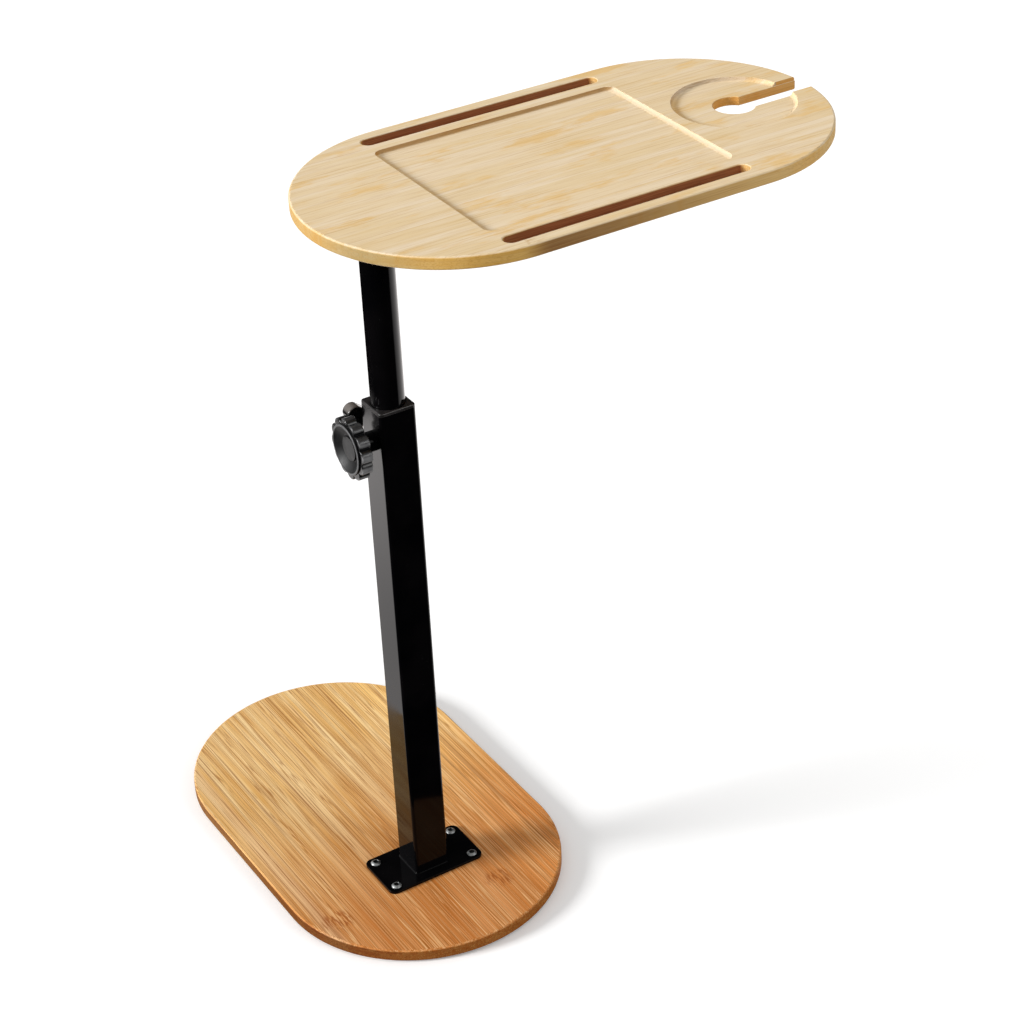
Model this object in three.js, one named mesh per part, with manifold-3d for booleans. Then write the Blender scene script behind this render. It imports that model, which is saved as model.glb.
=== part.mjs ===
// C-shaped side table: a tray top carried over one side of a foot board by a telescoping, swivelling mast.
// Millimetres, +Z up. X runs along the tray top and Y along the foot board.
import * as THREE from 'three';
import { mergeVertices } from 'three/addons/utils/BufferGeometryUtils.js';
import Module from 'manifold-3d';

const wasm = await Module();
wasm.setup();

// Tray top
const topLength = 500;
const topWidth = 272;
const topThickness = 12;
const topEdgeRadius = 2;
const topPoleInset = 60;

// Shallow coved tray and cup seat in the top
const trayLength = 244;
const trayWidth = 192;
const trayInset = 112;
const trayCornerRadius = 9;
const seatDepth = 3.4;
const coveWidth = 4;
const cupRadius = 56;
const cupInset = 77;

// Keyhole for a stemmed glass
const keyholeRadius = 19;
const keyholeWidth = 25;

// Grooves that stand a tablet or phone on edge
const grooveLength = 240;
const grooveWidth = 14;
const grooveDepth = 8;
const grooveEdgeRadius = 1.2;
const grooveOffset = 116.5;
const grooveInset = 114;

// Foot board
const footLength = 450;
const footWidth = 272;
const footThickness = 12;
const footEdgeRadius = 2;
const footPoleInset = 126;

// Non-slip pads under the foot board
const padRadius = 11;
const padThickness = 2;
const padSideInset = 48;
const padEndInset = 75;

// Mounting plates welded to the two tubes
const plateLength = 100;
const plateWidth = 56;
const plateThickness = 3;
const plateCornerRadius = 7;
const plateEdgeRadius = 0.5;
const screwSpacingX = 82;
const screwSpacingY = 40;

// Button head screws and their threaded inserts
const screwRadius = 2.5;
const screwHeadRadius = 4.75;
const screwHeadHeight = 2.75;
const socketAcrossFlats = 3;
const socketDepth = 1.6;
const insertRadius = 4;
const insertLength = 8;

// Square outer tube and its bush
const outerTubeSide = 35;
const outerTubeWall = 1.5;
const outerTubeCorner = 3;
const outerTubeLength = 497;
const bushFlange = 3;
const bushEdgeRadius = 1;
const bushSkirt = 20;

// Round inner tube and the guide at its foot
const innerTubeRadius = 15;
const innerTubeWall = 1.5;
const innerTubeLength = 450;
const mastExtension = 167;
const guideHeight = 24;
const spigotHeight = 18;
const guideBoreRadius = 9;

// Clamp on the left face: a dished knob on a bolt that presses on the inner tube
const clampDrop = 33;
const boltRadius = 4;
const boltHeadAcrossFlats = 13;
const boltHeadHeight = 5.3;
const nutRadius = 9;
const nutLength = 7;
const knobRadius = 28.5;
const knobRim = 10.5;
const knobEdgeRadius = 1;
const knobNeckRadius = 11;
const knobNeckLength = 6.2;
const knobNeckFlare = 3;
const knobLobes = 12;
const knobLobeRadius = 6.8;
const knobTurnDegrees = 5.9;
const lipRadius = 23;
const lipWidth = 3;
const lipHeight = 1.8;
const dishDepth = 4.6;
const dishSlope = 7.8;
const capRadius = 11.3;
const capThickness = 2.2;
const capSeatDepth = 1;
const tipRadius = 3.4;
const tipThickness = 2.4;
const tipStemRadius = 1.6;
const tipStemLength = 3;

// Wing screw on the back face
const wingSpan = 61.2;
const wingWidth = 15;
const wingThickness = 11.6;
const wingEdgeRadius = 1.5;
const wingHubRadius = 10.5;
const wingTurnDegrees = 37.5;
const studCover = 3;

// Clearances
const slideClearance = 0.25;
const fitClearance = 0.3;
const screwHoleClearance = 0.5;
const knobClearance = 0.8;
const insertHoleSpare = 1;

// Facets
const endSteps = 20;
const cornerSteps = 4;
const tubeSteps = 48;
const knobSteps = 32;
const smallSteps = 16;
const profileSteps = 3;
const pointsPerLobe = 8;

// Heights above the floor
const footTopZ = padThickness + footThickness;
const outerTubeZ = footTopZ + plateThickness;
const outerTubeTopZ = outerTubeZ + outerTubeLength;
const bushTopZ = outerTubeTopZ + bushFlange;
const innerTubeTopZ = bushTopZ + mastExtension;
const innerTubeBottomZ = innerTubeTopZ - innerTubeLength;
const topUndersideZ = innerTubeTopZ + plateThickness;
const clampZ = bushTopZ - clampDrop;

// Centres of the two boards, measured from the mast
const topCentreX = topLength / 2 - topPoleInset;
const footCentreY = footLength / 2 - footPoleInset;

// Finishes
const finish = {
  paleBamboo: { color: 0xe4cba0, roughness: 0.5, metalness: 0 },
  warmBamboo: { color: 0xd09a5c, roughness: 0.5, metalness: 0 },
  blackEnamel: { color: 0x0c0c0d, roughness: 0.15, metalness: 0.3 },
  blackPlastic: { color: 0x141414, roughness: 0.4, metalness: 0 },
  darkRubber: { color: 0x2b2b2b, roughness: 0.9, metalness: 0 },
  nylon: { color: 0xdedbd2, roughness: 0.6, metalness: 0 },
  zincSteel: { color: 0x8f9193, roughness: 0.35, metalness: 1 },
  brass: { color: 0xb08d45, roughness: 0.4, metalness: 1 },
};

// Outlines, anticlockwise seen from above
function roundedOutline(length, width, radius, steps) {
  const points = [];
  const corners = [[1, -1, -90], [1, 1, 0], [-1, 1, 90], [-1, -1, 180]];
  for (const [sideX, sideY, startDegrees] of corners) {
    const centreX = sideX * (length / 2 - radius);
    const centreY = sideY * (width / 2 - radius);
    for (let i = 0; i <= steps; i++) {
      const angle = THREE.MathUtils.degToRad(startDegrees + 90 * i / steps);
      const x = centreX + radius * Math.cos(angle);
      const y = centreY + radius * Math.sin(angle);
      points.push(new THREE.Vector2(x, y));
    }
  }
  return points.filter((point, i) => point.distanceTo(points.at(i - 1)) > 1e-6);
}

function stadium(length, width, steps) {
  return roundedOutline(length, width, Math.min(length, width) / 2, steps);
}

function circle(radius, steps) {
  return roundedOutline(2 * radius, 2 * radius, radius, steps / 4);
}

function hexagon(acrossFlats) {
  const corner = acrossFlats / Math.sqrt(3);
  const points = [];
  for (let i = 0; i < 6; i++) {
    const angle = i * Math.PI / 3;
    points.push(new THREE.Vector2(corner * Math.cos(angle), corner * Math.sin(angle)));
  }
  return points;
}

// Closed skin through outlines stacked upwards, each with the same number of points
function loft(layers) {
  const count = layers[0].outline.length;
  const positions = [];
  for (const { outline, z } of layers) {
    for (const point of outline) {
      positions.push(point.x, point.y, z);
    }
  }
  const index = [];
  for (let layer = 0; layer + 1 < layers.length; layer++) {
    for (let i = 0; i < count; i++) {
      const a = layer * count + i;
      const b = layer * count + (i + 1) % count;
      index.push(a, b, b + count, a, b + count, a + count);
    }
  }
  for (const [a, b, c] of THREE.ShapeUtils.triangulateShape(layers[0].outline, [])) {
    index.push(c, b, a);
  }
  const last = (layers.length - 1) * count;
  for (const [a, b, c] of THREE.ShapeUtils.triangulateShape(layers.at(-1).outline, [])) {
    index.push(a + last, b + last, c + last);
  }
  const geometry = new THREE.BufferGeometry();
  geometry.setAttribute('position', new THREE.Float32BufferAttribute(positions, 3));
  geometry.setIndex(index);
  return geometry;
}

function prism(outline, bottomZ, topZ) {
  return loft([{ outline, z: bottomZ }, { outline, z: topZ }]);
}

// Revolve of [radius, height] pairs about Z, from the axis back to the axis or closed on itself
function turned(profile, steps) {
  const points = profile.map(([radius, height]) => new THREE.Vector2(radius, height));
  return new THREE.LatheGeometry(points, steps).rotateX(Math.PI / 2);
}

// Slab whose two edges are rounded: outlineAt(inset) gives its outline drawn in by inset
function easedSlab(outlineAt, thickness, edgeRadius, steps) {
  const layers = [];
  for (let i = 0; i <= steps; i++) {
    const angle = Math.PI / 2 * i / steps;
    const inset = edgeRadius * (1 - Math.sin(angle));
    layers.push({ outline: outlineAt(inset), z: edgeRadius * (1 - Math.cos(angle)) });
  }
  for (const { outline, z } of layers.slice().reverse()) {
    layers.push({ outline, z: thickness - z });
  }
  return loft(layers);
}

// Cutter for a shallow seat whose walls are coves rising from its floor to the surface at z = 0
function seatCutter(outlineAt) {
  const coveRadius = (coveWidth ** 2 + seatDepth ** 2) / (2 * seatDepth);
  const sweep = Math.asin(coveWidth / coveRadius);
  const layers = [];
  for (let i = 0; i <= profileSteps; i++) {
    const angle = sweep * i / profileSteps;
    const inset = coveWidth - coveRadius * Math.sin(angle);
    const rise = coveRadius * (1 - Math.cos(angle));
    layers.push({ outline: outlineAt(inset), z: rise - seatDepth });
  }
  layers.push({ outline: outlineAt(0), z: topThickness });
  return loft(layers);
}

// Cutter for a groove with upright walls and a rounded upper edge at z = 0
function grooveCutter() {
  const outlineAt = (grow) => stadium(grooveLength + grow, grooveWidth + grow, cornerSteps);
  const layers = [{ outline: outlineAt(0), z: -grooveDepth }];
  for (let i = 0; i <= profileSteps; i++) {
    const angle = Math.PI / 2 * i / profileSteps;
    const grow = 2 * grooveEdgeRadius * (1 - Math.cos(angle));
    const z = grooveEdgeRadius * (Math.sin(angle) - 1);
    layers.push({ outline: outlineAt(grow), z });
  }
  layers.push({ outline: outlineAt(2 * grooveEdgeRadius), z: topThickness });
  return loft(layers);
}

// Outline of the keyhole: a round hole at the origin with a slot that runs out along +X
function keyholeOutline(reach) {
  const half = keyholeWidth / 2;
  const mouth = Math.asin(half / keyholeRadius);
  const shape = new THREE.Shape();
  shape.moveTo(reach, -half);
  shape.lineTo(reach, half);
  shape.absarc(0, 0, keyholeRadius, mouth, 2 * Math.PI - mouth, false);
  shape.closePath();
  return shape.extractPoints(smallSteps).shape.filter((point, i, all) => {
    return point.distanceTo(all.at(i - 1)) > 1e-6;
  });
}

// Solids for joins and cuts
function solid(geometry) {
  const bare = geometry.clone();
  bare.deleteAttribute('normal');
  bare.deleteAttribute('uv');
  const merged = mergeVertices(bare, 1e-5);
  return new wasm.Manifold(new wasm.Mesh({
    numProp: 3,
    vertProperties: Float32Array.from(merged.attributes.position.array),
    triVerts: Uint32Array.from(merged.index.array),
  }));
}

function joined(parts, cutters) {
  const body = parts.map(solid).reduce((whole, part) => whole.add(part));
  return cutters.reduce((rest, cutter) => rest.subtract(solid(cutter)), body);
}

function cut(body, ...cutters) {
  return joined([body], cutters);
}

function geometryOf(body) {
  const { vertProperties, triVerts } = body.getMesh();
  const geometry = new THREE.BufferGeometry();
  geometry.setAttribute('position', new THREE.BufferAttribute(vertProperties, 3));
  geometry.setIndex(new THREE.BufferAttribute(triVerts, 1));
  return geometry;
}

function piece(name, shape, look) {
  const geometry = shape.isBufferGeometry ? shape : geometryOf(shape);
  geometry.computeVertexNormals();
  const mesh = new THREE.Mesh(geometry, new THREE.MeshStandardMaterial(look));
  mesh.name = name;
  return mesh;
}

// Corner positions of the screws in a plate
function screwPositions() {
  const positions = [];
  for (const [side, x] of [['left', -1], ['right', 1]]) {
    for (const [end, y] of [['near', -1], ['far', 1]]) {
      positions.push({ corner: `${side}_${end}`, x: x * screwSpacingX / 2, y: y * screwSpacingY / 2 });
    }
  }
  return positions;
}

function insertHoles(surfaceZ, into) {
  const depth = insertLength + insertHoleSpare;
  const bottom = Math.min(surfaceZ, surfaceZ + into * depth);
  const holes = [];
  for (const { x, y } of screwPositions()) {
    const outline = circle(insertRadius + fitClearance, smallSteps);
    holes.push(prism(outline, bottom, bottom + depth).translate(x, y, 0));
  }
  return holes;
}

// Tray top, from its underside upwards, centred on the mast
function tabletop() {
  const slab = easedSlab(
    (inset) => stadium(topLength - 2 * inset, topWidth - 2 * inset, endSteps),
    topThickness, topEdgeRadius, profileSteps,
  ).translate(topCentreX, 0, 0);
  const tray = seatCutter((inset) => roundedOutline(
    trayLength - 2 * inset, trayWidth - 2 * inset, trayCornerRadius - inset, cornerSteps,
  )).translate(trayInset + trayLength / 2 - topPoleInset, 0, topThickness);
  const cupX = topLength - topPoleInset - cupInset;
  const cup = seatCutter((inset) => circle(cupRadius - inset, tubeSteps))
    .translate(cupX, 0, topThickness);
  const keyhole = prism(keyholeOutline(2 * cupInset), -topThickness, 2 * topThickness)
    .translate(cupX, 0, 0);
  const grooves = [-grooveOffset, grooveOffset].map((y) => {
    return grooveCutter().translate(grooveInset + grooveLength / 2 - topPoleInset, y, topThickness);
  });
  const board = cut(slab, tray, cup, keyhole, ...grooves, ...insertHoles(0, 1));
  const mesh = piece('tabletop', board, finish.paleBamboo);
  mesh.position.z = topUndersideZ;
  return mesh;
}

function footBoard() {
  const slab = easedSlab(
    (inset) => stadium(footWidth - 2 * inset, footLength - 2 * inset, endSteps),
    footThickness, footEdgeRadius, profileSteps,
  ).translate(0, footCentreY, 0);
  const mesh = piece('foot_board', cut(slab, ...insertHoles(footThickness, -1)), finish.warmBamboo);
  mesh.position.z = padThickness;
  return mesh;
}

function footPads() {
  const pads = [];
  const edge = padThickness / 4;
  for (const [side, x] of [['left', -1], ['right', 1]]) {
    for (const [end, y] of [['near', -1], ['far', 1]]) {
      const disc = easedSlab((inset) => circle(padRadius - inset, smallSteps), padThickness, edge, 1);
      const pad = piece(`foot_pad_${side}_${end}`, disc, finish.darkRubber);
      pad.position.x = x * (footWidth / 2 - padSideInset);
      pad.position.y = footCentreY + y * (footLength / 2 - padEndInset);
      pads.push(pad);
    }
  }
  return pads;
}

function mountingPlate(name, z) {
  const slab = easedSlab(
    (inset) => roundedOutline(
      plateLength - 2 * inset, plateWidth - 2 * inset, plateCornerRadius - inset, cornerSteps,
    ),
    plateThickness, plateEdgeRadius, 1,
  );
  const holes = screwPositions().map(({ x, y }) => {
    const outline = circle(screwRadius + screwHoleClearance, smallSteps);
    return prism(outline, -plateThickness, 2 * plateThickness).translate(x, y, 0);
  });
  const plate = piece(name, cut(slab, ...holes), finish.blackEnamel);
  plate.position.z = z;
  return plate;
}

// Button head screw with its head above z = 0 and its shank below
function screwBody() {
  const domeRadius = (screwHeadRadius ** 2 + screwHeadHeight ** 2) / (2 * screwHeadHeight);
  const domeSweep = Math.asin(screwHeadRadius / domeRadius);
  const shank = plateThickness + insertLength - fitClearance;
  const profile = [[0, -shank], [screwRadius, -shank], [screwRadius, 0], [screwHeadRadius, 0]];
  for (let i = 1; i < profileSteps; i++) {
    const angle = domeSweep * (1 - i / profileSteps);
    const height = screwHeadHeight - domeRadius * (1 - Math.cos(angle));
    profile.push([domeRadius * Math.sin(angle), height]);
  }
  profile.push([0, screwHeadHeight]);
  const socket = prism(hexagon(socketAcrossFlats), screwHeadHeight - socketDepth, 2 * screwHeadHeight);
  return cut(turned(profile, smallSteps), socket);
}

// Profile of a plain sleeve
function sleeve(bore, radius, start, end) {
  return [[bore, start], [radius, start], [radius, end], [bore, end], [bore, start]];
}

function insertBody() {
  const bore = screwRadius + fitClearance;
  return turned(sleeve(bore, insertRadius, 0, insertLength), smallSteps);
}

// Screws and inserts of one plate; surfaceZ is the board face, and out points away from the board
function fasteners(prefix, surfaceZ, out) {
  const meshes = [];
  for (const { corner, x, y } of screwPositions()) {
    const screw = piece(`${prefix}_screw_${corner}`, screwBody(), finish.zincSteel);
    screw.rotation.x = out > 0 ? 0 : Math.PI;
    screw.position.set(x, y, surfaceZ + out * plateThickness);
    const insert = piece(`${prefix}_insert_${corner}`, insertBody(), finish.brass);
    insert.position.set(x, y, out > 0 ? surfaceZ - insertLength : surfaceZ);
    meshes.push(screw, insert);
  }
  return meshes;
}

function outerTube() {
  const boreSide = outerTubeSide - 2 * outerTubeWall;
  const boreCorner = outerTubeCorner - outerTubeWall;
  const skin = prism(
    roundedOutline(outerTubeSide, outerTubeSide, outerTubeCorner, cornerSteps), 0, outerTubeLength,
  );
  const bore = prism(
    roundedOutline(boreSide, boreSide, boreCorner, cornerSteps),
    -outerTubeWall, outerTubeLength + outerTubeWall,
  );
  const hole = circle(boltRadius + screwHoleClearance, smallSteps);
  const holeZ = clampZ - outerTubeZ;
  const leftHole = prism(hole, 0, outerTubeSide).rotateY(-Math.PI / 2).translate(0, 0, holeZ);
  const backHole = prism(hole, 0, outerTubeSide).rotateX(-Math.PI / 2).translate(0, 0, holeZ);
  const tube = piece('outer_tube', cut(skin, bore, leftHole, backHole), finish.blackEnamel);
  tube.position.z = outerTubeZ;
  return tube;
}

// Bush that closes the outer tube and guides the inner one; z = 0 is the tube's end
function tubeBush() {
  const skirtSide = outerTubeSide - 2 * outerTubeWall - 2 * slideClearance;
  const skirtCorner = outerTubeCorner - outerTubeWall;
  const skirtOutline = roundedOutline(skirtSide, skirtSide, skirtCorner, cornerSteps);
  const flangeOutline = roundedOutline(outerTubeSide, outerTubeSide, outerTubeCorner, cornerSteps);
  const skirt = prism(skirtOutline, -bushSkirt, bushFlange / 2);
  const layers = [{ outline: flangeOutline, z: 0 }];
  for (let i = 0; i <= profileSteps; i++) {
    const angle = Math.PI / 2 * i / profileSteps;
    const inset = bushEdgeRadius * (1 - Math.cos(angle));
    const side = outerTubeSide - 2 * inset;
    const z = bushFlange - bushEdgeRadius * (1 - Math.sin(angle));
    layers.push({ outline: roundedOutline(side, side, outerTubeCorner - inset, cornerSteps), z });
  }
  const bore = prism(circle(innerTubeRadius + slideClearance, tubeSteps), -2 * bushSkirt, 2 * bushFlange);
  const bush = piece('tube_bush', joined([loft(layers), skirt], [bore]), finish.blackPlastic);
  bush.position.z = outerTubeTopZ;
  return bush;
}

function innerTube() {
  const bore = innerTubeRadius - innerTubeWall;
  const profile = sleeve(bore, innerTubeRadius, 0, innerTubeLength);
  const tube = piece('inner_tube', turned(profile, tubeSteps), finish.blackEnamel);
  tube.position.z = innerTubeBottomZ;
  return tube;
}

// Square guide that slides in the outer tube, with a round spigot on which the inner tube turns
function lowerGuide() {
  const side = outerTubeSide - 2 * outerTubeWall - 2 * slideClearance;
  const corner = outerTubeCorner - outerTubeWall;
  const block = easedSlab(
    (inset) => roundedOutline(side - 2 * inset, side - 2 * inset, corner - inset, cornerSteps),
    guideHeight, corner / 2, 1,
  );
  const spigotRadius = innerTubeRadius - innerTubeWall - fitClearance;
  const lead = spigotRadius - guideBoreRadius;
  const spigotEnd = guideHeight + spigotHeight;
  const spigot = turned([
    [0, guideHeight / 2], [spigotRadius, guideHeight / 2], [spigotRadius, spigotEnd - lead / 2],
    [spigotRadius - lead / 2, spigotEnd], [0, spigotEnd],
  ], knobSteps);
  const bore = prism(circle(guideBoreRadius, knobSteps), -guideHeight, 2 * spigotEnd);
  const guide = piece('lower_guide', joined([block, spigot], [bore]), finish.blackPlastic);
  guide.position.z = innerTubeBottomZ - fitClearance - guideHeight;
  return guide;
}

// Stations along a clamp, outwards from the mast axis
const tubeFace = outerTubeSide / 2;
const nutStart = tubeFace + fitClearance;
const nutEnd = nutStart + nutLength;
const neckStart = nutEnd + knobClearance;
const rimStart = neckStart + knobNeckLength;
const rimEnd = rimStart + knobRim;
const lipEnd = rimEnd + lipHeight;
const dishFloor = lipEnd - dishDepth;
const capSeat = dishFloor - capSeatDepth;
const headEnd = capSeat - fitClearance;
const tipStart = innerTubeRadius + fitClearance;
const tipEnd = tipStart + tipThickness;
const boltStart = tipEnd + fitClearance;
const wingEnd = neckStart + wingThickness;
const studEnd = wingEnd - studCover;

function weldNut(name) {
  const bore = boltRadius + fitClearance;
  const profile = sleeve(bore, nutRadius, nutStart, nutEnd);
  return piece(name, turned(profile, knobSteps), finish.blackEnamel);
}

function pressureTip(name) {
  const stemEnd = tipEnd + tipStemLength;
  const profile = [
    [0, tipStart], [tipRadius, tipStart], [tipRadius, tipEnd],
    [tipStemRadius, tipEnd], [tipStemRadius, stemEnd], [0, stemEnd],
  ];
  return piece(name, turned(profile, smallSteps), finish.nylon);
}

// Threaded shank whose inner end is bored for the stem of the pressure tip
function shankBody(end) {
  const shank = prism(circle(boltRadius, smallSteps), boltStart, end);
  const stemHole = prism(
    circle(tipStemRadius + fitClearance, smallSteps),
    boltStart - boltRadius, tipEnd + tipStemLength + fitClearance,
  );
  return cut(shank, stemHole);
}

function clampBolt(name) {
  const headStart = headEnd - boltHeadHeight;
  const head = prism(hexagon(boltHeadAcrossFlats), headStart, headEnd);
  return piece(name, shankBody(headStart + boltHeadHeight / 2).add(solid(head)), finish.zincSteel);
}

// Round lobes that meet in narrow valleys, drawn in by inset
function lobedOutline(inset) {
  const points = [];
  const count = knobLobes * pointsPerLobe;
  const pitch = 2 * Math.PI / knobLobes;
  const centre = knobRadius - knobLobeRadius;
  for (let i = 0; i < count; i++) {
    const angle = 2 * Math.PI * i / count;
    const fromCrest = angle - pitch * Math.round(angle / pitch);
    const rise = Math.sqrt((knobLobeRadius - inset) ** 2 - (centre * Math.sin(fromCrest)) ** 2);
    const radius = centre * Math.cos(fromCrest) + rise;
    points.push(new THREE.Vector2(radius * Math.cos(angle), radius * Math.sin(angle)));
  }
  return points;
}

// Neck between the weld nut and the rim, which flares into the rim
function knobNeck() {
  const flareRadius = knobNeckRadius + knobNeckFlare;
  const into = rimStart + knobEdgeRadius * 2;
  return turned([
    [0, neckStart], [knobNeckRadius, neckStart], [knobNeckRadius, rimStart - knobNeckFlare],
    [flareRadius, rimStart], [flareRadius, into], [0, into],
  ], knobSteps);
}

function knobBody(name) {
  const turn = THREE.MathUtils.degToRad(knobTurnDegrees);
  const rim = easedSlab(lobedOutline, knobRim, knobEdgeRadius, 1).rotateZ(turn).translate(0, 0, rimStart);
  const lipEdge = lipHeight / 3;
  const lip = turned([
    [0, dishFloor], [lipRadius, dishFloor], [lipRadius, lipEnd - lipEdge], [lipRadius - lipEdge, lipEnd],
    [0, lipEnd],
  ], tubeSteps);
  const dishRadius = lipRadius - lipWidth;
  const above = lipEnd + knobRim;
  const dish = turned([
    [0, dishFloor], [dishRadius - dishSlope, dishFloor], [dishRadius, lipEnd],
    [dishRadius, above], [0, above],
  ], tubeSteps);
  const capHole = prism(circle(capRadius + fitClearance, knobSteps), capSeat, lipEnd);
  const headPocket = prism(
    hexagon(boltHeadAcrossFlats + 2 * fitClearance), headEnd - boltHeadHeight - fitClearance, dishFloor,
  );
  const bore = prism(circle(boltRadius + fitClearance, smallSteps), tubeFace, dishFloor);
  const body = joined([rim, lip, knobNeck()], [dish, capHole, headPocket, bore]);
  return piece(name, body, finish.blackPlastic);
}

function knobCap(name) {
  const disc = easedSlab((inset) => circle(capRadius - inset, knobSteps), capThickness, capThickness / 4, 1);
  const cap = piece(name, disc, finish.blackPlastic);
  cap.position.z = capSeat + fitClearance;
  return cap;
}

// Wing grip moulded on a stud
function wingGrip(name) {
  const turn = THREE.MathUtils.degToRad(wingTurnDegrees);
  const bar = easedSlab(
    (inset) => stadium(wingSpan - 2 * inset, wingWidth - 2 * inset, cornerSteps * 2),
    wingThickness, wingEdgeRadius, 2,
  ).rotateZ(turn).translate(0, 0, neckStart);
  const hub = easedSlab((inset) => circle(wingHubRadius - inset, knobSteps), wingThickness, wingEdgeRadius, 2)
    .translate(0, 0, neckStart);
  const bore = prism(circle(boltRadius + fitClearance, smallSteps), tubeFace, studEnd);
  return piece(name, joined([bar, hub], [bore]), finish.blackPlastic);
}

function wingStud(name) {
  return piece(name, shankBody(studEnd - fitClearance), finish.zincSteel);
}

// A clamp is built along +Z, then turned to face outwards from the mast
function clamp(turnX, turnY, pieces) {
  const group = new THREE.Group();
  group.add(...pieces);
  group.rotation.set(turnX, turnY, 0);
  group.position.z = clampZ;
  return group;
}

function leftClamp() {
  return clamp(0, -Math.PI / 2, [
    weldNut('left_weld_nut'),
    pressureTip('left_pressure_tip'),
    clampBolt('left_clamp_bolt'),
    knobBody('left_knob'),
    knobCap('left_knob_cap'),
  ]);
}

function backClamp() {
  return clamp(-Math.PI / 2, 0, [
    weldNut('back_weld_nut'),
    pressureTip('back_pressure_tip'),
    wingStud('back_wing_stud'),
    wingGrip('back_wing_grip'),
  ]);
}

// Centre of the bounding box seen from above; the keyhole slot cuts the tip off the top's right end
function tableCentre() {
  const endRadius = topWidth / 2;
  const slotCorner = Math.sqrt(endRadius ** 2 - (keyholeWidth / 2) ** 2);
  const reach = new THREE.Box2();
  reach.expandByPoint(new THREE.Vector2(-footWidth / 2, -footPoleInset));
  reach.expandByPoint(new THREE.Vector2(footWidth / 2, footLength - footPoleInset));
  reach.expandByPoint(new THREE.Vector2(-topPoleInset, -topWidth / 2));
  reach.expandByPoint(new THREE.Vector2(topLength - topPoleInset - endRadius + slotCorner, endRadius));
  return reach.getCenter(new THREE.Vector2());
}

const table = new THREE.Group();
table.add(
  footBoard(),
  ...footPads(),
  mountingPlate('foot_plate', footTopZ),
  ...fasteners('foot', footTopZ, 1),
  outerTube(),
  tubeBush(),
  lowerGuide(),
  innerTube(),
  mountingPlate('top_plate', innerTubeTopZ),
  ...fasteners('top', topUndersideZ, -1),
  tabletop(),
  leftClamp(),
  backClamp(),
);
const centre = tableCentre();
table.position.set(-centre.x, -centre.y, 0);

export default table;
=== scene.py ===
# Looks of the c-shaped side table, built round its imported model.
# Metres, +Z up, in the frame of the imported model: X runs along the tray top, Y along the foot board.
import math

import bmesh
import bpy
from mathutils import Matrix, Vector


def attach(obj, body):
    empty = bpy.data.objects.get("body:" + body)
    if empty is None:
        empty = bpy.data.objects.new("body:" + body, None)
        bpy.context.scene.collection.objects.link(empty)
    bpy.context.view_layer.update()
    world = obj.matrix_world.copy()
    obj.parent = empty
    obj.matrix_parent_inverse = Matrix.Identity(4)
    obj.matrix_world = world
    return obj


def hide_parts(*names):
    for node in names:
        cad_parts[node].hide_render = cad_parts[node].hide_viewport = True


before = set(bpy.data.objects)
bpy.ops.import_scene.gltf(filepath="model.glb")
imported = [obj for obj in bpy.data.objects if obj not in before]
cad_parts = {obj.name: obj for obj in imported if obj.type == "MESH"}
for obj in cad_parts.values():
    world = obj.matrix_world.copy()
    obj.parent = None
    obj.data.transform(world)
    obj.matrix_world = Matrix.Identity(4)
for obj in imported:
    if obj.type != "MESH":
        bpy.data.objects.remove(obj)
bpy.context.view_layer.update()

MM = 0.001

# ---------------------------------------------------------------- dimensions, in millimetres

TOP_LENGTH, TOP_WIDTH = 500, 272
BOARD_THICKNESS, BOARD_EDGE, PLIES = 12, 2, 3
TOP_CENTRE_X = 190
FOOT_LENGTH, FOOT_CENTRE_Y = 450, 99
TRAY_LENGTH, TRAY_WIDTH, TRAY_CENTRE_X, TRAY_CORNER = 244, 192, 174, 9
SEAT_DEPTH, COVE_WIDTH, SEAT_LIP = 3.4, 4, 0.5
SEAT_MARGIN, SEAT_FADE = 1.2, 0.4
CUP_RADIUS, CUP_X = 56, 363
KEYHOLE_RADIUS, KEYHOLE_WIDTH, KEYHOLE_EDGE = 19, 25, 0.8
GROOVE_LENGTH, GROOVE_WIDTH, GROOVE_DEPTH, GROOVE_EDGE = 240, 14, 8, 1.2
GROOVE_X, GROOVE_Y = 174, 116.5
PLATE_LENGTH, PLATE_WIDTH, PLATE_THICKNESS, PLATE_CORNER = 100, 56, 3, 7
SCREW_X, SCREW_Y, SCREW_HOLE = 41, 20, 3
INSERT_RADIUS, INSERT_DEPTH = 4.3, 9
PAD_X, PAD_Y = 88, 150
TUBE_SIDE, TUBE_WALL, TUBE_CORNER = 35, 1.5, 3
INNER_RADIUS, INNER_WALL = 15, 1.5
CLAMP_HOLE, BOLT_BORE = 4.5, 4.3
NUT_RADIUS, NUT_START, NUT_END, GRIP_START = 9, 17.8, 24.8, 25.6
KNOB_RADIUS, LOBE_RADIUS, LOBES, KNOB_TURN = 28.5, 6.8, 12, 5.9
WING_SPAN, WING_WIDTH, WING_HUB, WING_TURN = 61.2, 15, 10.5, 37.5

FOOT_Z, FOOT_TOP_Z, TUBE_Z, TUBE_TOP_Z, BUSH_TOP_Z = 2, 14, 17, 514, 517
INNER_BOTTOM_Z, INNER_TOP_Z, TOP_Z = 234, 684, 687
CLAMP_Z = 484
MAST = Vector((-0.151712, -0.094, 0))


# ---------------------------------------------------------------- outlines, anticlockwise from above

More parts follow.
